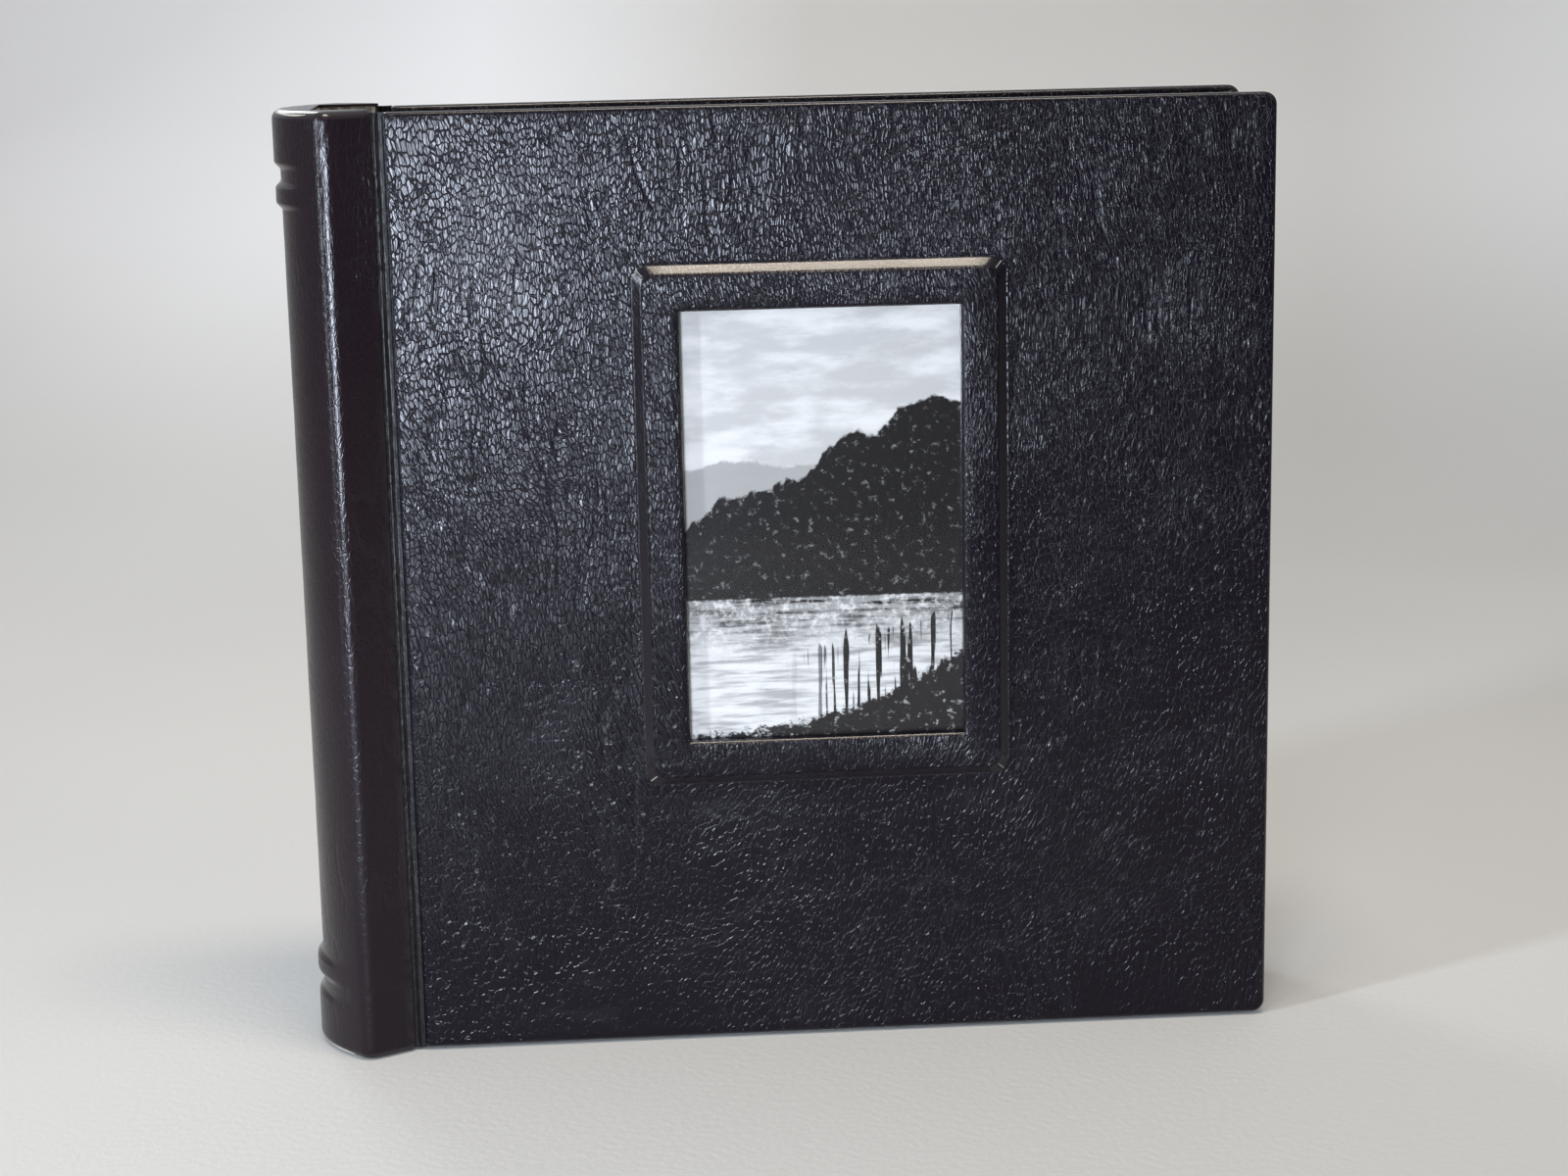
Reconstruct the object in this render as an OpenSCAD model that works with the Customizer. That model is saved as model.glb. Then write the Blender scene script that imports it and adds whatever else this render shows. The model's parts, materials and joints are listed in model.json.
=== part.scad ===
// Leather photo album with a picture window in its front cover, a rounded spine with
// raised bands, and stiff card leaves. It stands on its tail: +Z is up, the front cover
// faces -Y and the spine is at -X. The origin is at the bottom centre of the whole album.

/* [Covers] */
// Width of a cover, from its hinge edge to its fore-edge
cover_w = 283; // [220:1:340]
// Height of a cover
cover_h = 308; // [240:1:360]
// Thickness of the board inside a cover
board_t = 3; // [2.6:0.1:4]
// Radius of a cover's fore-edge corners
cover_corner_r = 4; // [3:0.5:10]
// Rounding of a cover's edges
cover_edge_r = 1.4; // [0.6:0.1:2]
// Angle by which the back cover stands open at rest
back_open = 2.2; // [0:0.1:5]

/* [Leather and linings] */
// Thickness of the covering leather
leather_t = 1; // [0.6:0.1:1.3]
// Width of the leather turned in over the inside of a cover
turn_in_w = 16; // [10:1:30]
// Leather left bare around the paper inside a cover
lining_margin = 6; // [3:0.5:9]
// Thickness of the paper pasted inside a cover
pastedown_t = 0.3; // [0.2:0.05:0.5]
// Thickness of a flyleaf
flyleaf_t = 0.3; // [0.2:0.05:0.4]

/* [Picture window] */
// Width of the picture that shows
window_w = 90; // [60:1:120]
// Height of the picture that shows
window_h = 141; // [90:1:180]
// Distance from the hinge edge to the middle of the window
window_x = 136; // [120:1:160]
// Height of the middle of the window above the cover's bottom edge
window_z = 173; // [140:1:185]
// Width of the raised border around the window
border_w = 15; // [10:0.5:25]
// Height of the raised border above the cover
border_rise = 3.2; // [3:0.1:5]
// Radius of the raised border's outer corners
border_corner_r = 4; // [2:0.5:8]
// Width of the print behind the window
print_w = 100; // [98:1:101]
// Height of the print behind the window
print_h = 150; // [149:1:152]
// Thickness of the clear sheet over the print
glazing_t = 0.5; // [0.3:0.1:0.6]
// Thickness of the print
print_t = 0.3; // [0.2:0.05:0.4]
// Thickness of the card behind the print
print_backing_t = 1; // [0.5:0.1:1.2]

/* [Spine] */
// How far the spine stands beyond the covers at head and tail
spine_overhang = 1; // [0:0.1:3]
// Width of the groove between the spine's shoulder and a cover
joint_gap = 3.5; // [3:0.1:5]
// Depth of the spine behind the covers' hinge edges
spine_depth = 34.2; // [32:0.1:42]
// How far a shoulder stands in front of its cover
shoulder_rise = 7.5; // [5.5:0.1:8]
// Distance from the hinge edge back to the middle of a shoulder
shoulder_x = 17.5; // [16.5:0.1:20]
// Radius of a shoulder
shoulder_r = 5; // [4:0.1:5.4]
// How far a shoulder's round edge stands out of the surfaces on both sides of it
shoulder_bead = 0.15; // [0.1:0.05:0.4]
// How far a shoulder's edge at the groove stands in front of its cover
shoulder_edge_rise = 0.3; // [0:0.1:1]
// Rounding of the shoulders' ends at head and tail
spine_end_r = 2.5; // [1.8:0.1:3.5]
// Depth of the channel that holds the leaves' stubs
channel_d = 22.4; // [18:0.1:24]

/* [Raised bands] */
// How far the bands stand out of the spine
band_rise = 2; // [1:0.1:3]
// Height of the wide band at each end of the spine
cap_band_h = 18.5; // [12:0.5:26]
// Plain space between the wide band and the narrow one
band_space = 4.2; // [3:0.1:10]
// Height of the narrow band
narrow_band_h = 8.5; // [5:0.5:14]
// Rounding of the bands' edges
band_edge_r = 1.6; // [1.2:0.1:2.2]

/* [Leaves] */
// Width of a leaf, from its fold to its fore-edge
leaf_w = 278; // [200:1:336]
// Height of a leaf
leaf_h = 300; // [230:1:354]
// Thickness of a leaf
leaf_t = 1.2; // [0.8:0.1:1.6]
// Thickness of the spacer strips between the stubs
spacer_t = 1.7; // [1.6:0.05:2.6]
// Radius of a leaf's fore-edge corners
leaf_corner_r = 3; // [1:0.5:8]
// Thickness of an interleaving tissue
tissue_t = 0.1; // [0.1:0.05:0.2]
// How much smaller a tissue is than its leaf, at each edge
tissue_margin = 2; // [0:0.5:6]
// Distance from the end of a stub to the fold of its leaf
fold_gap = 0.8; // [0.8:0.05:0.95]
// Thickness of the cloth glued over the back of the stubs
spine_lining_t = 0.4; // [0.3:0.1:0.6]

/* [Hidden] */
leaf_count = 12;
half_count = leaf_count / 2;

// Leaves follow the nearer cover: the outermost at this share of its angle, the others less.
outer_leaf_share = 0.4;
flyleaf_share = 0.5;

cover_t = board_t + 2 * leather_t;
cover_gap = 0.4;
leaf_pitch = leaf_t + spacer_t;
block_t = leaf_count * leaf_pitch + spacer_t;
album_t = block_t + 2 * (cover_t + pastedown_t + cover_gap);
block_y = (album_t - block_t) / 2;
hinge_x = -joint_gap / 2;

spine_h = cover_h + 2 * spine_overhang;
shoulder_y = shoulder_r - shoulder_rise;
shoulder_half = album_t / 2 - shoulder_y;
band_depth = spine_depth + band_rise;
band_end_share = 0.9;
band_end_x = shoulder_x + band_end_share * shoulder_r;
narrow_band_z = cap_band_h + band_space;
head_band_z = spine_h - narrow_band_z - narrow_band_h;
head_cap_z = spine_h - cap_band_h;

// Slope of a shoulder's flat side, from its round edge down to the groove
flank_reach = [shoulder_x - joint_gap, -shoulder_edge_rise - shoulder_y];
flank_angle = atan2(flank_reach[1], flank_reach[0])
              + asin((shoulder_r - shoulder_bead) / norm(flank_reach));

// How much the rounding of the ends takes off a shoulder's side
spine_end_trim = 0.05;

joint_strip_t = 1.2;
joint_strip_y = 1.2;
joint_clearance = 0.3;

pocket_d = glazing_t + print_t + print_backing_t;
border_w_out = window_w + 2 * border_w;
border_h_out = window_h + 2 * border_w;
border_board_inset = (sqrt(2) - 1) * leather_t;

stub_x = -channel_d + spine_lining_t;
spacer_setback = 2;
leaf_z = spine_overhang + (cover_h - leaf_h) / 2;

// Middle of the album's bounding box, seen from above
left_x = -band_depth;
back_y = max(album_t + shoulder_rise,
             album_t + (cover_w - hinge_x - cover_edge_r) * sin(back_open)
             + cover_edge_r * (1 - cos(back_open)));
origin_x = (left_x + cover_w) / 2;
origin_y = (back_y - shoulder_rise) / 2;

beyond = 200;
curve_fn = 96;

function numbered(name, i) = str(name, i < 10 ? "_0" : "_", i);

// Share of a cover's angle that leaf i follows, and its angle at rest
function leaf_share(i) =
    outer_leaf_share * (i <= half_count ? half_count + 1 - i : i - half_count) / half_count;
function leaf_angle(i) = i <= half_count ? 0 : leaf_share(i) * back_open;
function leaf_y(i) = block_y + i * leaf_pitch - leaf_t / 2;

// Distance from the hinge edges to the centre of the round back that reaches to a depth
// and runs into both shoulders
function round_x(depth) =
    let (k = depth - shoulder_r + shoulder_bead)
    (pow(shoulder_x, 2) + pow(shoulder_half, 2) - pow(k, 2)) / (2 * (k - shoulder_x));

LEAVES = [for (i = [1 : leaf_count]) numbered("leaf", i)];
TISSUES = [for (i = [1 : leaf_count]) numbered("tissue", i)];

// Shared shapes

// Rectangle from the origin with all corners rounded
module rounded_rectangle(w, h, r) {
    translate([r, 0]) square([w - 2 * r, h]);
    translate([0, r]) square([w, h - 2 * r]);
    for (x = [r, w - r], y = [r, h - r]) translate([x, y]) circle(r, $fn = curve_fn);
}

// Disc on the origin with its rims rounded
module rounded_disc(r, h, rim_r) {
    rotate_extrude($fn = curve_fn) intersection() {
        translate([-r, 0]) rounded_rectangle(2 * r, h, rim_r);
        square([r, h]);
    }
}

// Upright slab in the XZ plane, t thick towards +Y, with rounded corners
module slab(w, h, t, r) {
    translate([0, t, 0]) rotate([90, 0, 0]) linear_extrude(t) rounded_rectangle(w, h, r);
}

// The same slab with all its edges rounded too
module soft_slab(w, h, t, r, edge_r) {
    for (x = [r, w - r], z = [r, h - r])
        translate([x, t, z]) rotate([90, 0, 0]) rounded_disc(r, t, edge_r);
    translate([0, 0, r]) linear_extrude(h - 2 * r) rounded_rectangle(w, t, edge_r);
    translate([r, 0, 0]) rotate([90, 0, 90]) linear_extrude(w - 2 * r)
        rounded_rectangle(t, h, edge_r);
}

// Leaf or sheet: slab whose hinge edge keeps square corners
module sheet(w, h, t, r) {
    translate([0, t, 0]) rotate([90, 0, 0]) linear_extrude(t) {
        square([w - r, h]);
        translate([w - r, r]) square([r, h - 2 * r]);
        for (y = [r, h - r]) translate([w - r, y]) circle(r, $fn = curve_fn);
    }
}

// Raised panel on the plane Y = 0 around the middle of the window, rising towards -Y,
// with sides at 45 degrees; it also reaches a depth behind that plane
module raised_panel(w, h, rise, depth, r) {
    intersection() {
        translate([0, 0, -h]) linear_extrude(2 * h)
            polygon([[-w / 2, depth], [-w / 2, 0], [rise - w / 2, -rise],
                     [w / 2 - rise, -rise], [w / 2, 0], [w / 2, depth]]);
        rotate([0, 90, 0]) translate([0, 0, -w]) linear_extrude(2 * w)
            polygon([[-h / 2, depth], [-h / 2, 0], [rise - h / 2, -rise],
                     [h / 2 - rise, -rise], [h / 2, 0], [h / 2, depth]]);
        translate([-w / 2, -rise, -h / 2]) slab(w, h, rise + depth, r);
    }
}

// Places

module in_album_frame() {
    translate([-origin_x, -origin_y, 0]) children();
}

// Front cover: outer face on Y = 0, pages towards +Y
module at_front_cover() {
    in_album_frame() translate([0, 0, spine_overhang]) children();
}

// Back cover: the same, mirrored and turned open about its joint
module at_back_cover() {
    in_album_frame() translate([hinge_x, album_t, spine_overhang]) rotate([0, 0, back_open])
        translate([-hinge_x, 0, 0]) mirror([0, 1, 0]) children();
}

// Leaf i: its fold on the Z axis, its middle on Y = 0
module at_leaf(i) {
    in_album_frame() translate([fold_gap, leaf_y(i), leaf_z])
        rotate([0, 0, leaf_angle(i)]) children();
}

// Covers

module cover_board() {
    translate([leather_t, leather_t, leather_t])
        slab(cover_w - 2 * leather_t, cover_h - 2 * leather_t, board_t,
             cover_corner_r - leather_t);
}

module print_pocket(d) {
    translate([window_x - print_w / 2, leather_t, window_z - print_h / 2])
        cube([print_w, d, print_h]);
}

// Leather round a board: outer face, edges and the margins turned in
module cover_skin() {
    difference() {
        soft_slab(cover_w, cover_h, cover_t, cover_corner_r, cover_edge_r);
        cover_board();
        infill_card(cover_t);
    }
}

// Card that fills the space between the turned-in margins
module infill_card(reach_y) {
    y = leather_t + board_t;
    translate([turn_in_w, y, turn_in_w])
        cube([cover_w - 2 * turn_in_w, reach_y - y, cover_h - 2 * turn_in_w]);
}

module pastedown() {
    translate([lining_margin, cover_t, lining_margin])
        cube([cover_w - 2 * lining_margin, pastedown_t, cover_h - 2 * lining_margin]);
}

module front_board() {
    color("#8c8578") at_front_cover() difference() {
        cover_board();
        print_pocket(pocket_d);
    }
}

// Card border glued on the board: it makes the raised surround of the window
module window_border_board() {
    color("#8c8578") at_front_cover() border_board();
}

module border_board() {
    difference() {
        translate([window_x, leather_t, window_z])
            raised_panel(border_w_out - 2 * border_board_inset,
                         border_h_out - 2 * border_board_inset,
                         border_rise, 0, border_corner_r);
        window_hole(leather_t);
    }
}

module window_hole(margin) {
    translate([window_x - window_w / 2 - margin, -beyond, window_z - window_h / 2 - margin])
        cube([window_w + 2 * margin, beyond + leather_t, window_h + 2 * margin]);
}

module front_cover_leather() {
    color("#1b1b22") at_front_cover() difference() {
        union() {
            cover_skin();
            translate([window_x, 0, window_z])
                raised_panel(border_w_out, border_h_out, border_rise, leather_t,
                             border_corner_r);
        }
        border_board();
        window_hole(0);
    }
}

module front_infill_card() {
    color("#a39b8b") at_front_cover() infill_card(cover_t);
}

module front_pastedown() {
    color("#5b3a26") at_front_cover() pastedown();
}

// Picture behind the window, from the front: clear sheet, print, backing card

module picture_layer(y, t) {
    translate([window_x - print_w / 2, leather_t + y, window_z - print_h / 2])
        cube([print_w, t, print_h]);
}

module window_glazing() {
    color("#dfe6ea", 0.4) at_front_cover() picture_layer(0, glazing_t);
}

module cover_print() {
    color("#d9d7d2") at_front_cover() picture_layer(glazing_t, print_t);
}

module print_backing_card() {
    color("#a39b8b") at_front_cover() picture_layer(glazing_t + print_t, print_backing_t);
}

module back_board() {
    color("#8c8578") at_back_cover() cover_board();
}

module back_cover_leather() {
    color("#1b1b22") at_back_cover() cover_skin();
}

module back_infill_card() {
    color("#a39b8b") at_back_cover() infill_card(cover_t);
}

module back_pastedown() {
    color("#5b3a26") at_back_cover() pastedown();
}

// Spine

// Section of the spine, an inset inside its outer surface: the round back between two
// shoulders, each with a round edge and a flat side that slopes to its groove
module spine_section(inset) {
    inner_y = shoulder_y + shoulder_x * tan(flank_angle);
    difference() {
        union() {
            round_back_section(inset);
            shoulder_section(inset);
            translate([0, album_t]) mirror([0, 1]) shoulder_section(inset);
            polygon([[-shoulder_x, shoulder_y], [0, inner_y],
                     [0, album_t - inner_y], [-shoulder_x, album_t - shoulder_y],
                     [-shoulder_x - shoulder_r, album_t - shoulder_y - shoulder_r],
                     [-shoulder_x - shoulder_r, shoulder_y + shoulder_r]]);
        }
        translate([-joint_gap - inset, -beyond / 2]) square(beyond);
    }
}

module round_back_section(inset) {
    x = round_x(spine_depth);
    reach = beyond / shoulder_half;
    far_x = x - reach * (shoulder_x + x);
    intersection() {
        translate([x, album_t / 2]) circle(spine_depth + x - inset, $fn = curve_fn);
        // between the lines from the round back's centre through the shoulders' centres
        polygon([[-shoulder_x, shoulder_y],
                 [far_x, album_t / 2 - reach * shoulder_half],
                 [far_x, album_t / 2 + reach * shoulder_half],
                 [-shoulder_x, album_t - shoulder_y]]);
    }
}

module shoulder_section(inset) {
    r = shoulder_r - inset;
    flank_r = r - shoulder_bead;
    translate([-shoulder_x, shoulder_y]) {
        circle(r, $fn = curve_fn);
        rotate(flank_angle) translate([0, -flank_r]) square([2 * shoulder_x, 2 * flank_r]);
    }
}

// The spine, an inset inside its outer surface, its shoulders rounded over at both ends
module spine_form(inset) {
    y = inset + spine_end_trim - shoulder_rise;
    intersection() {
        translate([0, 0, -beyond]) linear_extrude(spine_h + 2 * beyond) spine_section(inset);
        translate([-beyond, y, inset]) rotate([90, 0, 90]) linear_extrude(2 * beyond)
            rounded_rectangle(album_t - 2 * y, spine_h - 2 * inset, spine_end_r - inset);
    }
}

// Channel for the stubs of the leaves, open towards the covers and at both ends
module channel() {
    translate([-channel_d, block_y, -1]) cube([channel_d + 1, block_t, spine_h + 2]);
}

// Where a raised band lies: round the back, ending short of the shoulders
module at_band(z0, inset) {
    intersection() {
        translate([round_x(band_depth), album_t / 2, z0 + inset]) children();
        translate([-beyond - band_end_x - inset, -beyond / 2, 0])
            cube([beyond, 2 * beyond, spine_h]);
    }
}

// Raised band from z0, h high: the leather's outer form, and the strip of card under it
module band(z0, h) {
    at_band(z0, 0) rounded_disc(band_depth + round_x(band_depth), h, band_edge_r);
}

module band_strip(z0, h) {
    at_band(z0, leather_t)
        cylinder(h - 2 * leather_t, r = band_depth + round_x(band_depth) - leather_t,
                 $fn = curve_fn);
}

module band_card(z0, h) {
    color("#a39b8b") in_album_frame() difference() {
        band_strip(z0, h);
        spine_form(leather_t);
    }
}

module spine_core() {
    color("#8c8578") in_album_frame() difference() {
        spine_form(leather_t);
        channel();
    }
}

module spine_leather() {
    color("#1d1816") in_album_frame() difference() {
        union() {
            spine_form(0);
            for (z = [0, head_cap_z]) band(z, cap_band_h);
            for (z = [narrow_band_z, head_band_z]) band(z, narrow_band_h);
        }
        spine_form(leather_t);
        for (z = [0, head_cap_z]) band_strip(z, cap_band_h);
        for (z = [narrow_band_z, head_band_z]) band_strip(z, narrow_band_h);
        channel();
    }
}

module head_cap_band() {
    band_card(head_cap_z, cap_band_h);
}

module head_band() {
    band_card(head_band_z, narrow_band_h);
}

module tail_band() {
    band_card(narrow_band_z, narrow_band_h);
}

module tail_cap_band() {
    band_card(0, cap_band_h);
}

// Leather hinge strip at the bottom of a groove, glued to the shoulder's edge
module joint_strip() {
    translate([-joint_gap, joint_strip_y, spine_overhang])
        cube([joint_gap - joint_clearance, joint_strip_t, cover_h]);
}

module front_joint_leather() {
    color("#16151a") in_album_frame() joint_strip();
}

module back_joint_leather() {
    color("#16151a") in_album_frame()
        translate([0, album_t, 0]) mirror([0, 1, 0]) joint_strip();
}

// Leaves

module leaf_stubs() {
    color("#efe9dc") in_album_frame() for (i = [1 : leaf_count])
        translate([stub_x, leaf_y(i) - leaf_t / 2, leaf_z]) cube([-stub_x, leaf_t, leaf_h]);
}

// Strips between the stubs and outside the first and last
module leaf_spacers() {
    color("#d8cfbd") in_album_frame() for (i = [0 : leaf_count])
        translate([stub_x, block_y + i * leaf_pitch, leaf_z])
            cube([-stub_x - spacer_setback, spacer_t, leaf_h]);
}

module spine_lining() {
    color("#e7e0d0") in_album_frame()
        translate([-channel_d, block_y, leaf_z]) cube([spine_lining_t, block_t, leaf_h]);
}

module leaf(i) {
    color("#efe9dc") at_leaf(i)
        translate([0, -leaf_t / 2, 0]) sheet(leaf_w, leaf_h, leaf_t, leaf_corner_r);
}

// Tissue that lies on the side of a leaf that faces the front cover
module tissue(i) {
    color("#f7f5f0", 0.7) at_leaf(i)
        translate([tissue_margin, -leaf_t / 2 - tissue_t, tissue_margin])
        sheet(leaf_w - 2 * tissue_margin, leaf_h - 2 * tissue_margin, tissue_t,
              leaf_corner_r);
}

module flyleaf(y, angle) {
    color("#5b3a26") in_album_frame() translate([fold_gap, y, leaf_z])
        rotate([0, 0, angle]) translate([0, -flyleaf_t / 2, 0])
        sheet(leaf_w, leaf_h, flyleaf_t, leaf_corner_r);
}

module front_flyleaf() {
    flyleaf(block_y + flyleaf_t / 2, 0);
}

module back_flyleaf() {
    flyleaf(block_y + block_t - flyleaf_t / 2, flyleaf_share * back_open);
}

spine_core();
spine_leather();
head_cap_band();
head_band();
tail_band();
tail_cap_band();
front_joint_leather();
back_joint_leather();
front_board();
front_cover_leather();
front_infill_card();
front_pastedown();
window_border_board();
window_glazing();
cover_print();
print_backing_card();
back_board();
back_cover_leather();
back_infill_card();
back_pastedown();
front_flyleaf();
back_flyleaf();
leaf_stubs();
leaf_spacers();
spine_lining();
for (i = [1 : leaf_count]) leaf(i);
for (i = [1 : leaf_count]) tissue(i);
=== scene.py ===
import json
import math

import bpy
import bmesh
from bpy.props import FloatProperty, FloatVectorProperty, PointerProperty
from mathutils import Matrix, Vector


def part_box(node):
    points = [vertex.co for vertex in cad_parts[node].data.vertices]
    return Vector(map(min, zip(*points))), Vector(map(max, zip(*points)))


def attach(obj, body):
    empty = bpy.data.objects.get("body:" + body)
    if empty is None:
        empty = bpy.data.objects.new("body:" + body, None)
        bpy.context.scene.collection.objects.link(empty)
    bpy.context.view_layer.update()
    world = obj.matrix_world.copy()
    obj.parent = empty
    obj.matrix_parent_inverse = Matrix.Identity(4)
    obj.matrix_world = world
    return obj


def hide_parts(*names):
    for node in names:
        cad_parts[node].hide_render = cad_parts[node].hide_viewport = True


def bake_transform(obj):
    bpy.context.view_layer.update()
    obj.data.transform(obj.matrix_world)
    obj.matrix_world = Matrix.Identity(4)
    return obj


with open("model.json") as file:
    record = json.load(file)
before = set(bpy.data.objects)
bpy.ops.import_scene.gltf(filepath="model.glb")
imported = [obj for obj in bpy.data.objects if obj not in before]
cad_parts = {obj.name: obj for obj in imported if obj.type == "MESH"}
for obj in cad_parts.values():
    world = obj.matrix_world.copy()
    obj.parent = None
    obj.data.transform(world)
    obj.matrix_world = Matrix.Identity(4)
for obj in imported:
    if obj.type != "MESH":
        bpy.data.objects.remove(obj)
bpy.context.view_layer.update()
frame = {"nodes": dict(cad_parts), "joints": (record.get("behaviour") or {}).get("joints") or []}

bl_info = {
    "name": "Leather Photo Album",
    "version": (1, 0, 0),
    "blender": (4, 5, 0),
    "location": "View3D > Sidebar > Album",
    "description": "Dresses the leather photo album: covers, spine, joints, picture and leaves",
    "category": "Add Mesh",
}

MM = 0.001

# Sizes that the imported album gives, in millimetres, in the album's own frame: the covers'
# hinge edges at X = 0, the front cover's face on Y = 0, the floor on Z = 0.
COVER_BOX = [v * 1000 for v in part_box("front_cover_leather")]
SPINE_BOX = [v * 1000 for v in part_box("spine_leather")]
BLOCK_BOX = [v * 1000 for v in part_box("leaf_spacers")]
BOARD_BOX = [v * 1000 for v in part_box("front_board")]
LINING_BOX = [v * 1000 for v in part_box("front_pastedown")]
GLAZING_BOX = [v * 1000 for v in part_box("window_glazing")]
LEAF_BOX = [v * 1000 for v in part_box("leaf_01")]

SKIN = BOARD_BOX[0].x - COVER_BOX[0].x
ORIGIN = Vector((-COVER_BOX[0].x, SKIN - BOARD_BOX[0].y, 0.0))
COVER_W = COVER_BOX[1].x - COVER_BOX[0].x
COVER_T = LINING_BOX[0].y + ORIGIN.y
COVER_Z0, COVER_Z1 = COVER_BOX[0].z, COVER_BOX[1].z
BORDER_RISE = -(COVER_BOX[0].y + ORIGIN.y)
BLOCK_Y0, BLOCK_Y1 = BLOCK_BOX[0].y + ORIGIN.y, BLOCK_BOX[1].y + ORIGIN.y
ALBUM_T = BLOCK_Y0 + BLOCK_Y1
SPINE_H = SPINE_BOX[1].z
BAND_DEPTH = -(SPINE_BOX[0].x + ORIGIN.x)
GROOVE = -(SPINE_BOX[1].x + ORIGIN.x)
SHOULDER_RISE = -(SPINE_BOX[0].y + ORIGIN.y)
HINGE_X = -GROOVE / 2
LEAVES = sorted(n for n in frame["nodes"] if n.startswith("leaf_") and n[5:].isdigit())
BACK_OPEN = math.radians(2.2)

# The window and the raised border round it
WINDOW_W, WINDOW_H, BORDER_W, BORDER_R = 90.0, 141.0, 15.0, 4.0
WINDOW_DEPTH = BORDER_RISE + 1.65
BORDER_EDGE_R, WINDOW_EDGE_R = 0.8, 1.2

# The covers' outer corners, hinge corners and edges
CORNER_R, HINGE_CORNER_R, COVER_EDGE_R = 4.0, 1.6, 1.4

# The spine: its shoulders' place and radius, its bands and the rounding of its ends
SHOULDER_X, SHOULDER_R = 17.5, 5.0
FLANK_STEPS, SHOULDER_STEPS, BACK_STEPS = 9, 15, 32
BAND_RISE = 2.0
CAP_BAND, BAND_SPACE, NARROW_BAND = 18.5, 4.2, 8.5
BANDS = [(0.0, CAP_BAND), (CAP_BAND + BAND_SPACE, CAP_BAND + BAND_SPACE + NARROW_BAND)]
BANDS += [(SPINE_H - b, SPINE_H - a) for a, b in BANDS]
END_R = 3.0

# How unevenly the leather lies over the boards, and the distance of the cuts that allow it
LEATHER_SLACK, GRID = 0.16, 7.0

# The leather in the grooves: how far it goes under the shoulder, its width and thickness
JOINT_LAP, JOINT_W, JOINT_T = 0.9, GROOVE + 1.7, 0.8
JOINT_COLUMNS, JOINT_RINGS = 22, 60

# The cloth guards at the leaves' folds
GUARD_T, GUARD_COLUMNS = 0.44, 8

# The print lies this far behind the clear sheet
PRINT_GAP = 0.03

# Colours besides those of the settings: (tops, creases) of leather, whose paler crease colours are
# painted sheen, (main, fleck) of papers
SPINE_CREASE_SHEEN = (0.0110, 0.0070, 0.0095)
JOINT_LEATHER = (0.006, 0.0055, 0.006), (0.02, 0.018, 0.018)
GREY_BOARD = (0.27, 0.25, 0.21), (0.17, 0.155, 0.13)
LINING_CARD = (0.37, 0.33, 0.27), (0.24, 0.21, 0.17)
ENDPAPER_VEINS, ENDPAPER_CLOUDS = (0.03, 0.012, 0.006), (0.17, 0.078, 0.035)
SPACER_CARD = (0.66, 0.60, 0.48), (0.52, 0.46, 0.36)
TISSUE = (0.86, 0.84, 0.79), (0.78, 0.76, 0.70)
LINEN = (0.70, 0.65, 0.53), (0.45, 0.41, 0.33)
PRINT_BLACK, PRINT_WHITE = (0.0035, 0.0025, 0.0022), (0.54, 0.53, 0.505)
# The backdrop's colour up the wall, lighter than the floor's: painted light
PAINTED_WALL_LIGHT = (0.80, 0.795, 0.78)

# The floor, in metres: its width, where it starts and ends, and the curve up behind it
FLOOR_W, FLOOR_FRONT, FLOOR_BACK = 6.0, -0.9, 0.72
CURVE_DEEP, CURVE_HIGH, CURVE_CUTS = 0.5, 0.37, 10

# Lamps: name, place, target, width and height, power in watts, colour, spread in degrees
LAMPS = (
    ("window_light", (-0.31, -1.28, 0.16), (-0.1, 0, 0.2), (0.25, 0.3), 4.2, (0.76, 0.84, 1.0), 75),
    ("side_light", (-1.20, -0.75, 0.50), (0, 0, 0.15), (0.12, 0.9), 4, (0.80, 0.90, 1.0), 80),
    ("ceiling_light", (0.10, -0.29, 1.6), (0.10, 0, 0.1), (0.5, 0.22), 12, (1.0, 0.88, 0.74), 180),
    ("rear_light", (-0.45, 0.85, 0.75), (0, 0, 0.15), (0.3, 0.3), 3, (0.95, 0.97, 1.0), 180),
)

# The camera: its place in the album's own frame, its right side and its direction of view
CAMERA_PLACE, CAMERA_LENS = (62.8, -932.2, 353.1), 67.5
CAMERA_RIGHT, CAMERA_FORWARD = (0.99745, -0.06843, -0.02014), (0.06273, 0.97589, -0.20904)


def seen(x, y, z):
    """A point of the album's own frame in millimetres, in the scene's metres."""
    return Vector((x - ORIGIN.x, y - ORIGIN.y, z)) * MM


def smooth(t):
    """0 to 1 with a soft start and end."""
    t = max(0.0, min(1.0, t))
    return t * t * (3 - 2 * t)


def waves(a, b, seed=0.0):
    """A slow, repeatable unevenness between about -1 and 1, over lengths in millimetres."""
    return (math.sin(0.071 * a + 0.043 * b + 1.3 + seed)
            + math.sin(0.113 * b - 0.037 * a + 2.1 * seed)
            + 0.6 * math.sin(0.19 * a + 0.157 * b + 0.7 * seed)
            + 0.4 * math.sin(0.31 * a - 0.27 * b + 3.3 * seed)) / 3.0


# Modelling helpers

def deselect():
    """Leaves edit mode and selects nothing."""
    if bpy.context.mode != "OBJECT":
        bpy.ops.object.mode_set(mode="OBJECT")
    bpy.ops.object.select_all(action="DESELECT")


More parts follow.
